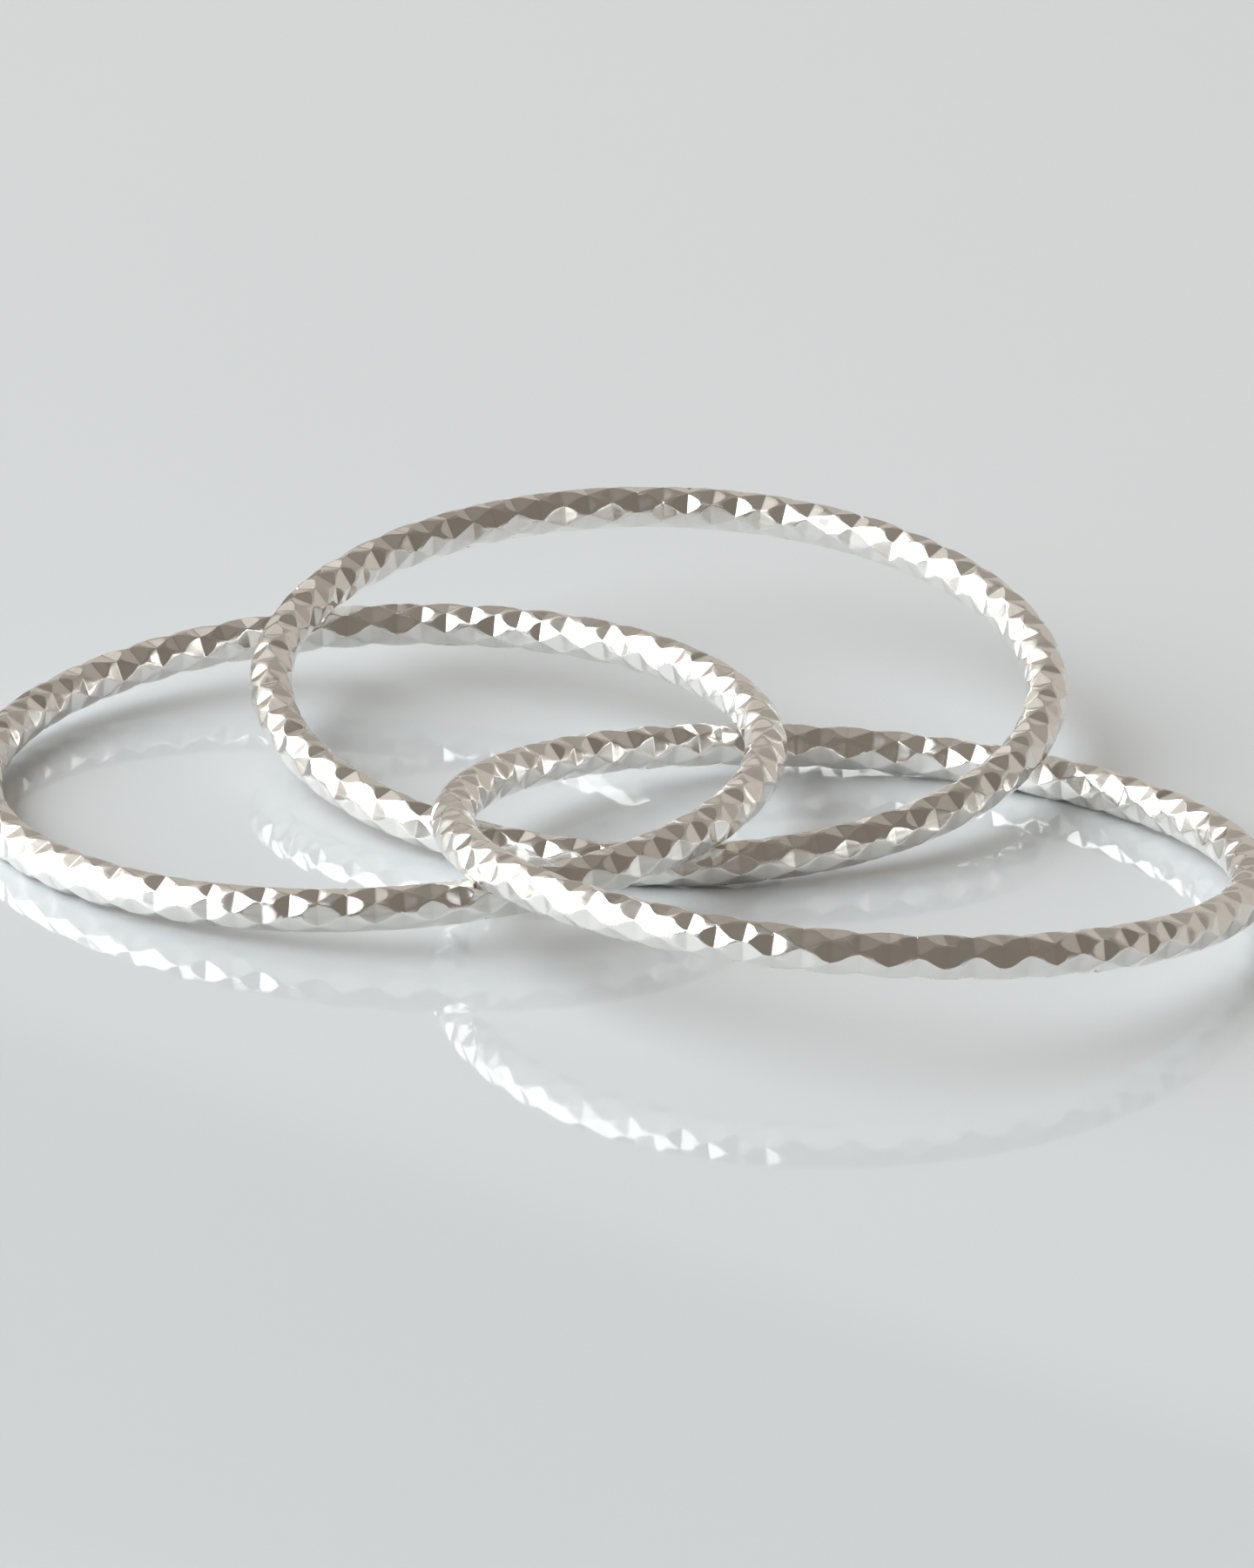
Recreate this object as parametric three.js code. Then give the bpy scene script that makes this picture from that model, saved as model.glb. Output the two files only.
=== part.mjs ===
// Three equal bands of diamond-cut round wire, linked through one another like a rolling ring and lying
// loose: every band touches the ground on its low side and leans over both of its neighbours.
// Millimetres, +Z up. The ground is at Z = 0, and the origin is under the middle of the whole ring.

import * as THREE from 'three';

// Driving dimensions
const innerDiameter = 17.3;
const wireDiameter = 1.0;
const bandClearance = 0.05;
const cutLength = 0.7;
const cutPitch = 1.25;

// Cuts lie in rows along the wire. Neighbouring rows are half a pitch apart.
const rowsAroundWire = 12;

// How the bands lie, seen from above. across (+X) and along (+Y) place the centre, as shares of the
// centreline radius. lowSide is the direction, in degrees from +X, in which the band touches the ground.
// cutTurn is how far the band is turned about its own axis. rowTurn is how far its wire is turned about
// the centreline, from a first row that faces straight outwards. Both are in degrees.
const lie = [
  { name: 'band_left', across: -0.645, along: 0.044, lowSide: -159.3, cutTurn: 5.7, rowTurn: 7 },
  { name: 'band_back', across: 0.077, along: 0.534, lowSide: -93.9, cutTurn: 0, rowTurn: 20 },
  { name: 'band_right', across: 0.568, along: -0.578, lowSide: 62.3, cutTurn: 0.2, rowTurn: 15 },
];

// Two linked bands cross twice, at a far end (+Y) and at a near end, and change places between the two.
const crossings = [
  { over: 'band_back', under: 'band_left', far: true },
  { over: 'band_left', under: 'band_back', far: false },
  { over: 'band_left', under: 'band_right', far: true },
  { over: 'band_right', under: 'band_left', far: false },
  { over: 'band_back', under: 'band_right', far: true },
  { over: 'band_right', under: 'band_back', far: false },
];

const wireRadius = wireDiameter / 2;
const centrelineRadius = innerDiameter / 2 + wireRadius;
const cutsPerRow = Math.round((2 * Math.PI * centrelineRadius) / cutPitch);

// A closed ring of cut wire, lying flat about the origin. Each cut is a pair of flat triangles that meet
// in a crease across the wire and end in tips on its round outline. Stations are half a pitch apart.
// At each one every second row has its crease. It ends on the lands of the rows beside it.
function cutWireBand(rowTurn) {
  const stations = 2 * cutsPerRow;
  const tipReach = cutLength / cutPitch;
  const firstRow = THREE.MathUtils.degToRad(rowTurn);
  const points = [];
  const triangles = [];

  function addPoint(row, station) {
    const around = (station * Math.PI) / cutsPerRow;
    const angle = firstRow + (row * 2 * Math.PI) / rowsAroundWire;
    const reach = centrelineRadius + wireRadius * Math.cos(angle);
    points.push(reach * Math.cos(around), reach * Math.sin(around), wireRadius * Math.sin(angle));
    return points.length / 3 - 1;
  }

  const corners = [];
  for (let station = 0; station < stations; station += 1) {
    for (let row = 0; row < rowsAroundWire; row += 1) {
      const creased = (row + station) % 2 === 0;
      corners.push({
        creased,
        land: creased ? null : addPoint(row, station),
        tipBefore: creased ? addPoint(row, station - tipReach) : null,
        tipAfter: creased ? addPoint(row, station + tipReach) : null,
      });
    }
  }
  const corner = (station, row) => {
    const wrappedRow = (row + rowsAroundWire) % rowsAroundWire;
    return corners[(station % stations) * rowsAroundWire + wrappedRow];
  };

  for (let station = 0; station < stations; station += 1) {
    for (let row = 0; row < rowsAroundWire; row += 1) {
      const here = corner(station, row);
      const [below, above] = [corner(station, row - 1), corner(station, row + 1)];
      if (here.creased) {
        triangles.push(below.land, here.tipAfter, above.land);
        triangles.push(above.land, here.tipBefore, below.land);
      } else {
        // The flat land on either side, between the cuts of two rows
        const next = corner(station + 1, row);
        const [nextBelow, nextAbove] = [corner(station + 1, row - 1), corner(station + 1, row + 1)];
        triangles.push(here.land, next.tipBefore, nextAbove.land);
        triangles.push(here.land, nextAbove.land, above.tipAfter);
        triangles.push(here.land, nextBelow.land, next.tipBefore);
        triangles.push(here.land, below.tipAfter, nextBelow.land);
      }
    }
  }
  const geometry = new THREE.BufferGeometry();
  geometry.setAttribute('position', new THREE.Float32BufferAttribute(points, 3));
  geometry.setIndex(triangles);
  geometry.computeVertexNormals();
  return geometry;
}

// A band tipped by its lean. The lowest point of the wire stays on the ground.
function place(band) {
  const low = THREE.MathUtils.degToRad(band.lowSide);
  band.low = new THREE.Vector3(Math.cos(low), Math.sin(low), 0);
  band.centre = new THREE.Vector3(band.across, band.along, 0).multiplyScalar(centrelineRadius);
  band.centre.z = wireRadius + centrelineRadius * Math.sin(band.lean);
  const hinge = new THREE.Vector3(-band.low.y, band.low.x, 0);
  band.turn = new THREE.Quaternion().setFromAxisAngle(hinge, band.lean);
}

function nearestOnCentreline(band, point) {
  const axis = new THREE.Vector3(0, 0, 1).applyQuaternion(band.turn);
  const spoke = point.clone().sub(band.centre).projectOnPlane(axis);
  return spoke.setLength(centrelineRadius).add(band.centre);
}

// The place where two equal circles cross in plan
function planCrossing(one, other, far) {
  const middle = one.centre.clone().add(other.centre).multiplyScalar(0.5);
  const apart = other.centre.clone().sub(one.centre).setZ(0);
  const reach = Math.sqrt(centrelineRadius ** 2 - apart.lengthSq() / 4);
  const aside = new THREE.Vector3(-apart.y, apart.x, 0).setLength(reach);
  const towardsFar = aside.y > 0;
  return towardsFar === far ? middle.add(aside) : middle.sub(aside);
}

// Walks from one centreline to the other until both points are the nearest ones. It gives how far the
// upper wire's centreline is above the lower one, and the upper point.
function standOff(over, under, far) {
  const walkingSteps = 60;
  let below = planCrossing(over, under, far);
  let above = below;
  for (let step = 0; step < walkingSteps; step += 1) {
    above = nearestOnCentreline(over, below);
    below = nearestOnCentreline(under, above);
  }
  const distance = above.distanceTo(below);
  return { height: above.z < below.z ? -distance : distance, above };
}

// Leans every band just far enough to clear both bands that it lies over, again and again, because
// each one that rises lifts those that lie over it.
function layDown(bands) {
  const settlingRounds = 60;
  const needed = wireDiameter + bandClearance;
  for (const band of bands) {
    band.lean = 0;
    place(band);
  }
  for (let round = 0; round < settlingRounds; round += 1) {
    for (const band of bands) {
      const rises = crossings.filter(({ over }) => over === band.name).map(({ under, far }) => {
        const { height, above } = standOff(band, bands.find(({ name }) => name === under), far);
        const lever = centrelineRadius - above.sub(band.centre).dot(band.low);
        return (needed - height) / lever;
      });
      band.lean += Math.max(...rises);
      place(band);
    }
  }
}

const silver = new THREE.MeshStandardMaterial({
  color: 0xdedad4,
  roughness: 0.16,
  metalness: 1,
  flatShading: true,
});

const bands = lie.map((row) => ({ ...row }));
layDown(bands);

const ring = new THREE.Group();
for (const band of bands) {
  const mesh = new THREE.Mesh(cutWireBand(band.rowTurn), silver.clone());
  mesh.name = band.name;
  mesh.position.copy(band.centre);
  mesh.quaternion.copy(band.turn);
  mesh.rotateZ(THREE.MathUtils.degToRad(band.cutTurn));
  ring.add(mesh);
}

// Brings the middle of the ring's underside to the origin
const extent = new THREE.Box3().setFromObject(ring, true);
const underside = extent.getCenter(new THREE.Vector3()).setZ(extent.min.z);
ring.position.copy(underside).negate();

export default ring;
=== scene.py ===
"""A rolling ring of three linked bands of diamond-cut silver wire, lying loose on a pale glossy table.

Lengths are in metres in the part's own frame: +Z up, the table at Z = 0, +Y away from the camera.
Angles with no unit of their own are in degrees.
"""

import math

import bpy
import numpy as np
from mathutils import Matrix, Vector


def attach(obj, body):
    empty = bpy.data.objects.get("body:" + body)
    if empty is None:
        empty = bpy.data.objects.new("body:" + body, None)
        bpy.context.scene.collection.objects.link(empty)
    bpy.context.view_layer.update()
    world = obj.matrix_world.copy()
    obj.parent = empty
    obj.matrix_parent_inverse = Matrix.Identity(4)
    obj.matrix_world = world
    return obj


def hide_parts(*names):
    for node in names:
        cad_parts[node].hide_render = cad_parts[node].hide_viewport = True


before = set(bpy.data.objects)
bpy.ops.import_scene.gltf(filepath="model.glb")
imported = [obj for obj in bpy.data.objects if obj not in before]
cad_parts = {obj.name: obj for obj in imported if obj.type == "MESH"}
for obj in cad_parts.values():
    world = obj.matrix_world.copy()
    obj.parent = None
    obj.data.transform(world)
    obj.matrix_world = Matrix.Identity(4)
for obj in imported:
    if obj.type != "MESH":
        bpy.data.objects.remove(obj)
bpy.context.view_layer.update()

MM = 0.001
FULL_TURN = 2 * math.pi

# The picture. Its scale is the one at the camera's target
PICTURE_HEIGHT = 1800
PIXELS_PER_MM = 48.91
SENSOR_MM = 36.0
CAMERA_TARGET_MM = (0.37, 2.86, 0.0)
CAMERA_DISTANCE_MM = 300.0
CAMERA_ELEVATION = 19.84
CAMERA_ROLL = 1.48

# The wire's cuts, as the part has them
ROWS_AROUND_WIRE = 12
CUT_LENGTH = 0.7 * MM
CUT_PITCH = 1.25 * MM
# How far each band is turned about its own axis, and its wire about the centreline
CUT_TURN = {"band_left": 5.7, "band_back": 0.0, "band_right": 0.2}
ROW_TURN = {"band_left": 7.0, "band_back": 20.0, "band_right": 15.0}

# What a close look adds to them
EDGE_ROUNDING = 0.002 * MM
CREASE_ROUNDING = 0.002 * MM
CUT_HOLLOW = 0.003 * MM
DEPTH_SCATTER = 0.008 * MM
TWIST_SCATTER = math.radians(2.0)
LEAN_SCATTER = math.radians(2.0)

# The surface's grid has its lines at these shares of half a pitch and of a cut's width, and one on each
# side of a cut, at a share of the way from the middle of the land to the cut's edge
ALONG_SHARES = (0.0, 0.025, 0.1, 0.27, 0.44, 0.56, 0.73, 0.9, 0.975)
ACROSS_SHARES = (0.0, 0.05, 0.35, 0.65, 0.95, 1.0)
BESIDE_CUT_SHARE = 0.8
# The least room, in radians, that keeps the grid from folding where a cut or a land runs out
NARROWEST_CUT = math.radians(1.0)
NARROWEST_LAND = math.radians(0.2)
# Past its tips a cut's plane leaves the wire. It is followed this far, as a share of the wire's radius
FARTHEST_PLANE = 1.1
# Over how much depth a cut fades into land, and over how many half pitches its crease fades
LAND_FADE = 0.01 * MM
CREASE_FADE = 0.08

# The silver's colour where it is bright, its colour where a film dulls it and where painted shade darkens
# its creases, and how far each of these goes
BRIGHT_SILVER = (0.95, 0.935, 0.91, 1)
DULL_AND_SHADED_SILVER = (0.84, 0.80, 0.75, 1)
DULL_BY_FILM = 0.5
CREASE_PAINTED_SHADE = 0.35
# The smoothest cut's roughness, and the most that each of these adds to it
SMOOTHEST_CUT = 0.07
ROUGHER_BY_CUT = 0.07
ROUGHER_BY_LAND = 0.12
ROUGHER_BY_MARKS = 0.05
ROUGHER_BY_FILM = 0.05
# Tool marks, counted per millimetre along the wire and round it. Film and pits are counted per metre
MARKS = (60.0, 6.0, 1.0)
FILM = 900.0
PITS = 9000.0
RELIEF_HEIGHT = 0.002 * MM
RELIEF_STRENGTH = 0.12

TABLE_HALF_WIDTH = 3.0
TABLE_COLOURS = ((0.775, 0.80, 0.825, 1), (0.795, 0.82, 0.845, 1))
TABLE_CLOUDS_PER_METRE = 25.0
TABLE_ROUGHNESS = 0.04
TABLE_IOR = 1.45

DAYLIGHT = (0.90, 0.97, 1.0)
LIT_WALL = (1.0, 0.965, 0.91)
PALE_WALL = (1.0, 0.955, 0.89)
DIM_ROOM = (0.197, 0.174, 0.149, 1)


class Band:
    """How a band lies, read from its CAD node: its centre, its turn, its centreline and its wire."""

    def __init__(self, node_name):
        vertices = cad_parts[node_name].data.vertices
        points = np.empty(len(vertices) * 3)
        vertices.foreach_get("co", points)
        points = np.unique(points.reshape(-1, 3).round(8), axis=0)
        self.centre = points.mean(axis=0)
        axis = np.linalg.svd(points - self.centre, full_matrices=False)[2][2]
        axis *= np.sign(axis[2])
        self.turn = np.array(Vector((0, 0, 1)).rotation_difference(Vector(axis)).to_matrix())
        flat = (points - self.centre) @ self.turn
        reach = np.hypot(flat[:, 0], flat[:, 1])
        self.centreline = (reach.max() + reach.min()) / 2
        self.wire = np.hypot(reach - self.centreline, flat[:, 2]).max()
        self.cuts = round(FULL_TURN * self.centreline / CUT_PITCH)
        self.cut_turn = math.radians(CUT_TURN[node_name])
        self.row_turn = math.radians(ROW_TURN[node_name])

    def around(self, station):
        """The direction from the band's centre, with stations half a pitch apart."""
        return self.cut_turn + station * math.pi / self.cuts

    def row_angle(self, row):
        """The direction in which a row faces, from straight outwards."""
        return self.row_turn + row * FULL_TURN / ROWS_AROUND_WIRE

    def point(self, around, angle, radius):
        """Points of the lying-flat band, radius away from its centreline."""
        around, angle, radius = np.broadcast_arrays(around, angle, radius)
        reach = self.centreline + radius * np.cos(angle)
        across = [reach * np.cos(around), reach * np.sin(around)]
        return np.stack([*across, radius * np.sin(angle)], axis=-1)

    def on_outline(self, row, station):
        return self.point(self.around(station), self.row_angle(row), self.wire)

    def placed(self, points):
        return points @ self.turn.T + self.centre


def ring_surface(name, points, uv, shades):
    """Turns a grid of points, closed both ways, into a mesh. uv has one more row and column than points.

    shades is a dictionary of numbers on the same grid as points, kept as attributes for the material.
    """
    rows, columns = points.shape[:2]
    row, column = np.meshgrid(np.arange(rows), np.arange(columns), indexing="ij")
    steps = ((0, 0), (1, 0), (1, 1), (0, 1))
    corners = np.stack(
        [((row + i) % rows) * columns + (column + j) % columns for i, j in steps], axis=-1
    )
    loops = np.stack([uv[row + i, column + j] for i, j in steps], axis=2)
    mesh = bpy.data.meshes.new(name)
    mesh.vertices.add(rows * columns)
    mesh.vertices.foreach_set("co", points.ravel())
    mesh.loops.add(corners.size)
    mesh.loops.foreach_set("vertex_index", corners.ravel().astype(np.int32))
    mesh.polygons.add(rows * columns)
    mesh.polygons.foreach_set("loop_start", np.arange(0, corners.size, 4, dtype=np.int32))
    mesh.polygons.foreach_set("use_smooth", np.ones(rows * columns, dtype=bool))
    mesh.update(calc_edges=True)
    mesh.uv_layers.new(name="wire").data.foreach_set("uv", loops.ravel())
    for shade, values in shades.items():
        layer = mesh.attributes.new(shade, "FLOAT", "POINT")
        layer.data.foreach_set("value", values.astype(np.float32).ravel())
    piece = bpy.data.objects.new(name, mesh)
    bpy.context.scene.collection.objects.link(piece)
    return piece


def unit(vectors):
    return vectors / np.linalg.norm(vectors, axis=-1, keepdims=True)


def row_beside(values, steps, turn=0.0):
    """The values of the row that many rows on. Angles gain a full turn where the rows start again."""
    beside = np.roll(values, -steps, axis=0)
    turns = (np.arange(ROWS_AROUND_WIRE) + steps) // ROWS_AROUND_WIRE
    return beside + turn * turns.reshape((-1,) + (1,) * (values.ndim - 1))


def cut_planes(band, random):
    """The two flat halves of every cut, before and after its crease, as planes: (normal, offset) pairs.

    A crease ends on the lands of the rows beside it, and each half goes on to a tip on the wire's round
    outline. Every cut then has its own depth, its own twist about the wire and its own lean along it.
    """
    row = np.arange(ROWS_AROUND_WIRE)[:, None]
    station = 2 * np.arange(band.cuts) + row
    tip = CUT_LENGTH / CUT_PITCH
    low, high = band.on_outline(row - 1, station), band.on_outline(row + 1, station)
    before, after = band.on_outline(row, station - tip), band.on_outline(row, station + tip)
    shape = station.shape + (1,)
    twist = random.normal(0, TWIST_SCATTER, shape)
    lean = random.normal(0, LEAN_SCATTER, shape)
    depth = random.normal(0, DEPTH_SCATTER, shape[:2])
    planes = []
    for lengthwise in (low - before, after - low):
        normal = unit(np.cross(lengthwise, high - low))
        normal = unit(normal + twist * unit(high - low) + lean * unit(after - before))
        planes.append((normal, np.sum(normal * (low + high) / 2, axis=-1) + depth))
    return planes


def cut_lines(band, planes, rows, cut, around):
    """Each row's nearest cut at every place along the band, as a straight line in the wire's section.

    A line is known by its distance from the wire's centre and by the way it faces. Of a cut's two halves
    the farther one counts, so that they meet in a crease.
    """
    outwards = np.stack([np.cos(around), np.sin(around)], axis=-1)
    halves = []
    for normals, offsets in planes:
        normal, offset = normals[rows, cut], offsets[rows, cut]
        normal_out = np.sum(normal[..., :2] * outwards, axis=-1)
        steepness = np.hypot(normal_out, normal[..., 2])
        halves.append((offset - band.centreline * normal_out) / steepness)
        # Both halves face almost the same way in the section, so that the second one's serves for both
        facing = np.arctan2(normal[..., 2], normal_out)
    distance = CREASE_ROUNDING * np.logaddexp(halves[0] / CREASE_ROUNDING, halves[1] / CREASE_ROUNDING)
    distance = np.minimum(distance, FARTHEST_PLANE * band.wire)
    straight = band.row_angle(rows)
    facing = straight + (facing - straight + math.pi) % FULL_TURN - math.pi
    return distance, facing


def grid_angles(distance, facing, wire):
    """The angles round the wire of the grid's lines in the strip of every row.

    A strip goes from the middle of the land on one side of its cut to the middle of the land on the other,
    or to the ridge where this cut and the next are equally near.
    """
    half_width = np.maximum(np.arccos(np.minimum(distance / wire, 1)), NARROWEST_CUT)
    next_distance, next_facing = row_beside(distance, 1), row_beside(facing, 1, FULL_TURN)
    apart = next_facing - facing
    ridge = facing + np.arctan2(next_distance / distance - np.cos(apart), np.sin(apart))
    next_edge = next_facing - row_beside(half_width, 1)
    land_middle = (facing + half_width + next_edge) / 2
    end = np.where(facing + half_width < next_edge, land_middle, ridge)
    end = np.clip(end, facing + NARROWEST_CUT, next_facing - NARROWEST_CUT)
    start = row_beside(end, -1, FULL_TURN)
    low_edge = np.maximum(facing - half_width, start + NARROWEST_LAND)
    high_edge = np.minimum(facing + half_width, end - NARROWEST_LAND)
    on_cut = low_edge[..., None] + (high_edge - low_edge)[..., None] * np.array(ACROSS_SHARES)
    before_cut = start + BESIDE_CUT_SHARE * (low_edge - start)
    after_cut = end + BESIDE_CUT_SHARE * (high_edge - end)
    strip = [start[..., None], before_cut[..., None], on_cut, after_cut[..., None]]
    return np.concatenate(strip, axis=-1)


def cut_band(node_name, seed, silver):
    """A band of diamond-cut wire, as a function of the way along the band and the way round the wire.

    At an angle round the wire the surface is the nearest cut's line, its distance over the cosine of the
    angle from the way it faces, or else the wire's round outline, which is left as land. The edges
    between them are rounded a little.
    """
    band = Band(node_name)
    random = np.random.default_rng(seed)
    stations = 2 * band.cuts
    along = (np.arange(stations)[:, None] + np.array(ALONG_SHARES)).ravel()
    around = band.around(along)
    rows = np.arange(ROWS_AROUND_WIRE)[:, None]
    cut = np.floor((along - rows + 1) / 2).astype(int)
    from_crease = along - 2 * cut - rows
    cut %= band.cuts
    shade_of_cut = random.random((ROWS_AROUND_WIRE, band.cuts))
    distance, facing = cut_lines(band, cut_planes(band, random), rows, cut, around)
    angle = grid_angles(distance, facing, band.wire)

    def line_distance(steps):
        """The distance from the centreline to the line of the row that many rows on, at each angle."""
        beside = row_beside(facing, steps, FULL_TURN)[..., None]
        return row_beside(distance, steps)[..., None] / np.cos(angle - beside)

    share = np.concatenate([[0, 0], ACROSS_SHARES, [1]])
    hollow = CUT_HOLLOW * (4 * share * (1 - share)) ** 2 * np.cos(from_crease * math.pi / 2)[..., None]
    outline = np.full_like(angle, band.wire)
    candidates = [line_distance(0) - hollow, line_distance(1), line_distance(-1), outline]
    nearest = np.min(candidates, axis=0)
    blend = sum(np.exp(-(candidate - nearest) / EDGE_ROUNDING) for candidate in candidates)
    radius = nearest - EDGE_ROUNDING * np.log(blend)

    def unrolled(values):
        """Brings values by row, place along and place across to place along and place round the wire."""
        values = np.broadcast_to(values, angle.shape)
        return np.moveaxis(values, 0, 1).reshape(len(along), -1)

    points = band.point(around[:, None], unrolled(angle), unrolled(radius))
    columns = ROWS_AROUND_WIRE * len(share)
    u = np.append(along, stations) * CUT_PITCH / 2 / MM
    v = np.arange(columns + 1) / columns * FULL_TURN * band.wire / MM
    uv = np.stack(np.meshgrid(u, v, indexing="ij"), axis=-1)
    land = 1 - np.exp(-(line_distance(0) - radius).clip(0) / LAND_FADE)
    shades = {
        "cut_shade": unrolled(shade_of_cut[rows, cut][..., None]),
        "land": unrolled(land),
        # crease tells the material where to paint shade into the creases between a cut's halves
        "crease": unrolled(np.exp(-np.abs(from_crease) / CREASE_FADE)[..., None]),
    }
    piece = ring_surface(node_name + "_cut", band.placed(points), uv, shades)
    piece.data.materials.append(silver)
    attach(piece, "root")
    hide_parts(node_name)


class Socket:
    """A node's output, with arithmetic that adds Math nodes."""

    def __init__(self, shader, source):
        self.shader = shader
        self.source = source

    def __add__(self, other):
        return self.shader.node("Math", {"operation": "ADD"}, (self, other))

    def __mul__(self, other):
        return self.shader.node("Math", {"operation": "MULTIPLY"}, (self, other))

    __radd__ = __add__


class Shader:
    """A material or world whose nodes are made by one method."""

    def __init__(self, owner):
        owner.use_nodes = True
        self.tree = owner.node_tree
        self.tree.nodes.clear()

    def node(self, kind, settings=None, inputs=(), output=0):
        """Adds a node of a type. Settings come first, then the inputs, by place or by name."""
        new = self.tree.nodes.new("ShaderNode" + kind)
        for key, value in (settings or {}).items():
            setattr(new, key, value)
        pairs = inputs.items() if isinstance(inputs, dict) else enumerate(inputs)
        for key, value in pairs:
            if isinstance(value, Socket):
                self.tree.links.new(value.source, new.inputs[key])
            else:
                new.inputs[key].default_value = value
        return Socket(self, new.outputs[output]) if new.outputs else None

    def mix(self, factor, first, second):
        """A colour between two others. The Mix node keeps its colour sockets at places 6 and 7."""
        return self.node("Mix", {"data_type": "RGBA"}, {0: factor, 6: first, 7: second}, output=2)


def new_shader(name):
    material = bpy.data.materials.new(name)
    return material, Shader(material)


def cut_silver():
    """Bright silver. Every cut is as smooth as its own stroke left it, with faint tool marks across it. A
    film dulls it here and there, and painted shade darkens it towards each cut's crease.
    """
    material, shader = new_shader("cut_silver")
    uv = shader.node("TexCoord", output="UV")
    place = shader.node("TexCoord", output="Object")
    shade = shader.node("Attribute", {"attribute_name": "cut_shade"}, output="Fac")
    land = shader.node("Attribute", {"attribute_name": "land"}, output="Fac")
    crease = shader.node("Attribute", {"attribute_name": "crease"}, output="Fac")
    stretched = shader.node("Mapping", None, {"Vector": uv, "Scale": MARKS})
    marks = shader.node("TexNoise", None, {"Vector": stretched, "Scale": 1.0, "Detail": 3.0})
    film = shader.node("TexNoise", None, {"Vector": place, "Scale": FILM, "Detail": 4.0})
    pits = shader.node("TexNoise", None, {"Vector": place, "Scale": PITS, "Detail": 2.0})
    cut_roughness = SMOOTHEST_CUT + shade * ROUGHER_BY_CUT + land * ROUGHER_BY_LAND
    roughness = cut_roughness + marks * ROUGHER_BY_MARKS + film * ROUGHER_BY_FILM
    # Painted shade: near each cut's crease the colour goes towards the dull silver, on top of the film's
    # real dulling
    dulled_and_shaded = film * DULL_BY_FILM + crease * CREASE_PAINTED_SHADE
    tint = shader.mix(dulled_and_shaded, BRIGHT_SILVER, DULL_AND_SHADED_SILVER)
    normal = shader.node(
        "Bump",
        None,
        {"Strength": RELIEF_STRENGTH, "Distance": RELIEF_HEIGHT, "Height": marks * 0.7 + pits * 0.3},
    )
    surface = shader.node(
        "BsdfPrincipled",
        None,
        {"Base Color": tint, "Metallic": 1.0, "Roughness": roughness, "Normal": normal},
    )
    shader.node("OutputMaterial", None, {"Surface": surface})
    return material


def glossy_table():
    """A pale smooth table top that mirrors a little."""
    material, shader = new_shader("glossy_table")
    place = shader.node("TexCoord", output="Object")
    clouds = {"Vector": place, "Scale": TABLE_CLOUDS_PER_METRE, "Detail": 2.0}
    colour = shader.mix(shader.node("TexNoise", None, clouds), *TABLE_COLOURS)
    surface = shader.node(
        "BsdfPrincipled",
        None,
        {"Base Color": colour, "Roughness": TABLE_ROUGHNESS, "IOR": TABLE_IOR},
    )
    shader.node("OutputMaterial", None, {"Surface": surface})
    return material


def table():
    half = TABLE_HALF_WIDTH
    corners = [(-half, -half, 0), (half, -half, 0), (half, half, 0), (-half, half, 0)]
    mesh = bpy.data.meshes.new("table")
    mesh.from_pydata(corners, [], [(0, 1, 2, 3)])
    piece = bpy.data.objects.new("table", mesh)
    bpy.context.scene.collection.objects.link(piece)
    mesh.materials.append(glossy_table())


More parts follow.
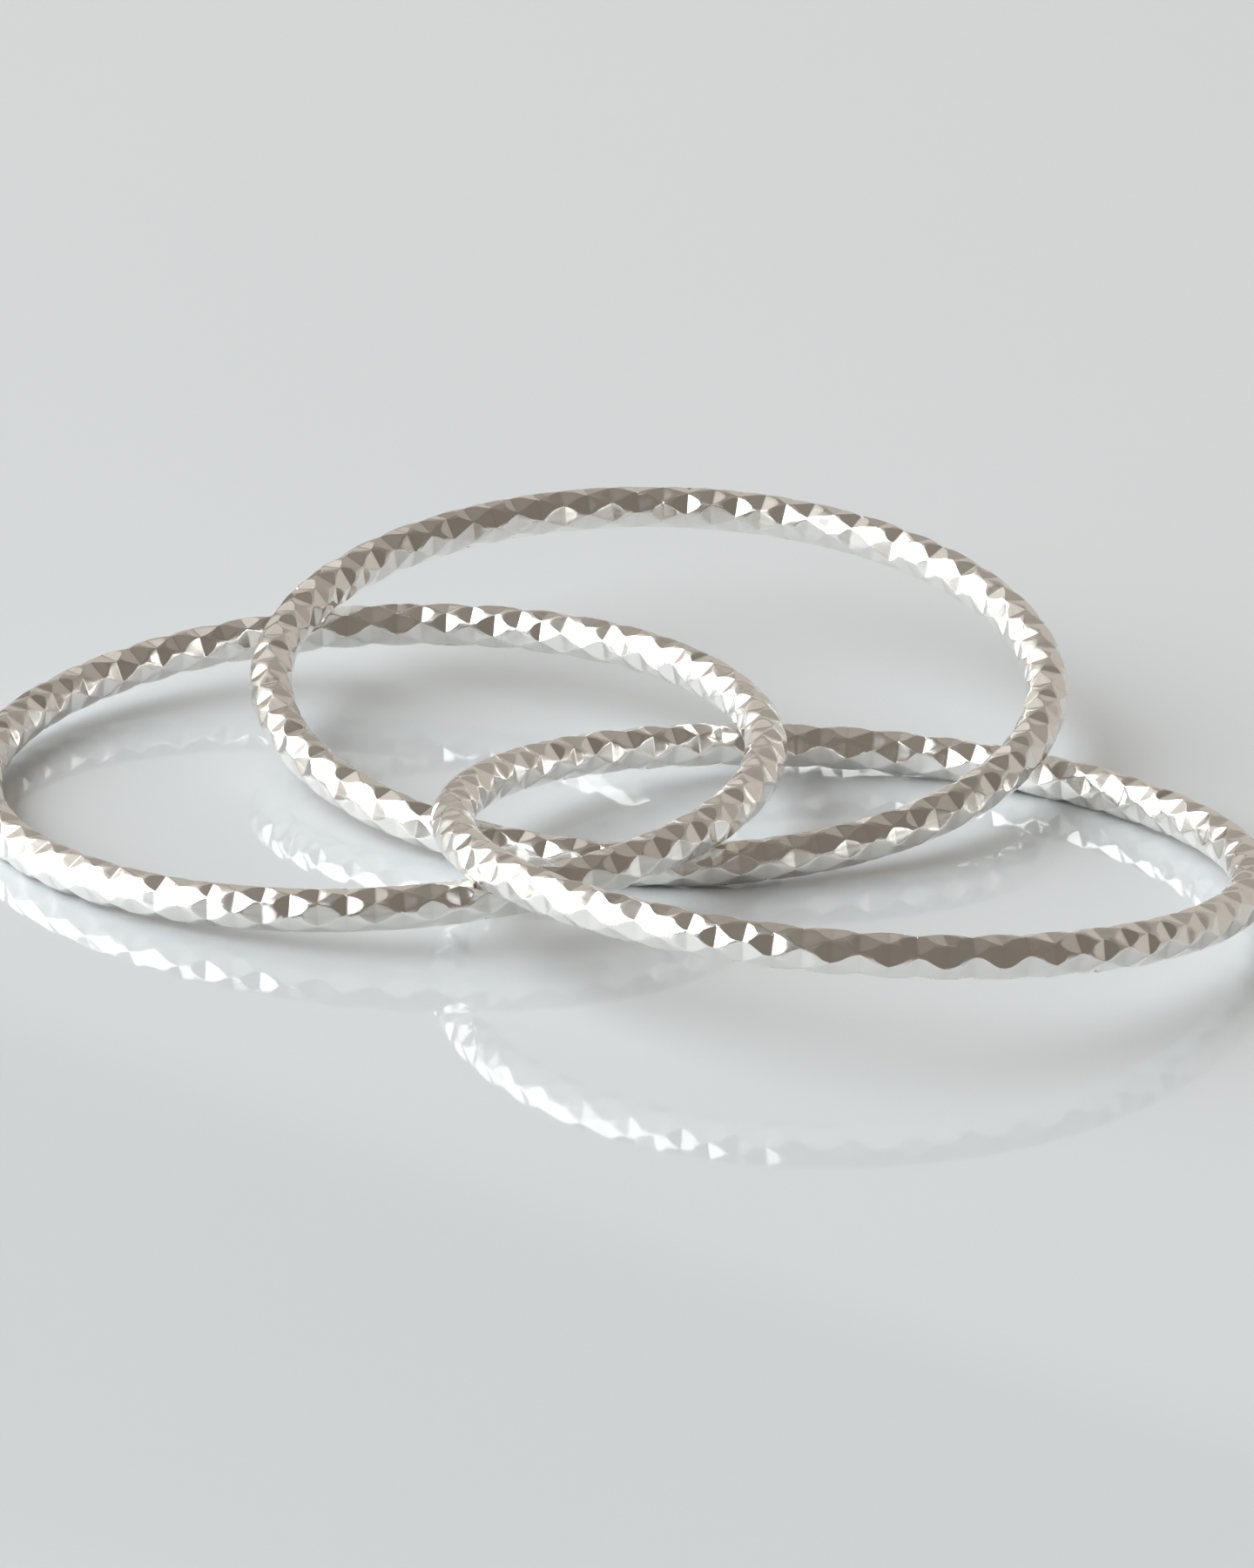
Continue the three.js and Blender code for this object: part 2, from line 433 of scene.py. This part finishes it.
def softbox(name, azimuth, elevation, distance, size, radiance, colour):
    """A soft light that looks at the ring. Azimuth is from +X towards +Y."""
    light = bpy.data.lights.new(name, "AREA")
    light.shape = "RECTANGLE"
    light.size, light.size_y = size
    light.energy = radiance * math.pi * size[0] * size[1]
    light.color = colour
    lamp = bpy.data.objects.new(name, light)
    turn, rise = math.radians(azimuth), math.radians(elevation)
    way = Vector((math.cos(turn) * math.cos(rise), math.sin(turn) * math.cos(rise), math.sin(rise)))
    lamp.location = way * distance
    lamp.rotation_euler = way.to_track_quat("Z", "Y").to_euler()
    bpy.context.scene.collection.objects.link(lamp)


def room_light():
    world = bpy.data.worlds.new("room")
    shader = Shader(world)
    glow = shader.node("Background", None, {"Color": DIM_ROOM, "Strength": 1.0})
    shader.node("OutputWorld", None, {"Surface": glow})
    bpy.context.scene.world = world


def camera():
    """A long lens that looks down at the ring from the front, a little turned about its own axis."""
    lens = bpy.data.cameras.new("camera")
    lens.sensor_width = SENSOR_MM
    lens.lens = SENSOR_MM * PIXELS_PER_MM * CAMERA_DISTANCE_MM / PICTURE_HEIGHT
    lens.clip_start = 0.01
    lens.clip_end = 20.0
    eye = bpy.data.objects.new("camera", lens)
    rise, roll = math.radians(CAMERA_ELEVATION), math.radians(CAMERA_ROLL)
    ahead = Vector((0, math.cos(rise), -math.sin(rise)))
    right = Vector((1, 0, 0))
    up = right.cross(ahead)
    turned_right = right * math.cos(roll) + up * math.sin(roll)
    turned_up = up * math.cos(roll) - right * math.sin(roll)
    pose = Matrix((turned_right, turned_up, -ahead)).transposed().to_4x4()
    pose.translation = Vector(CAMERA_TARGET_MM) * MM - ahead * CAMERA_DISTANCE_MM * MM
    eye.matrix_world = pose
    bpy.context.scene.collection.objects.link(eye)
    bpy.context.scene.camera = eye


silver = cut_silver()
camera()
for seed, node_name in enumerate(("band_left", "band_back", "band_right")):
    cut_band(node_name, seed, silver)

table()
room_light()
softbox("window", 182, 33, 0.9, (1.7, 1.0), 2.80, DAYLIGHT)
softbox("window_wall", 165, 32, 1.6, (3.52, 2.24), 0.42, LIT_WALL)
softbox("backdrop", 50, 14, 1.2, (3.4, 0.60), 0.34, PALE_WALL)
softbox("back_wall", 60, 40, 1.0, (2.8, 0.42), 0.18, PALE_WALL)
softbox("ceiling", 100, 82, 1.0, (0.8, 0.8), 0.06, PALE_WALL)
bpy.context.scene.view_settings.view_transform = "Standard"
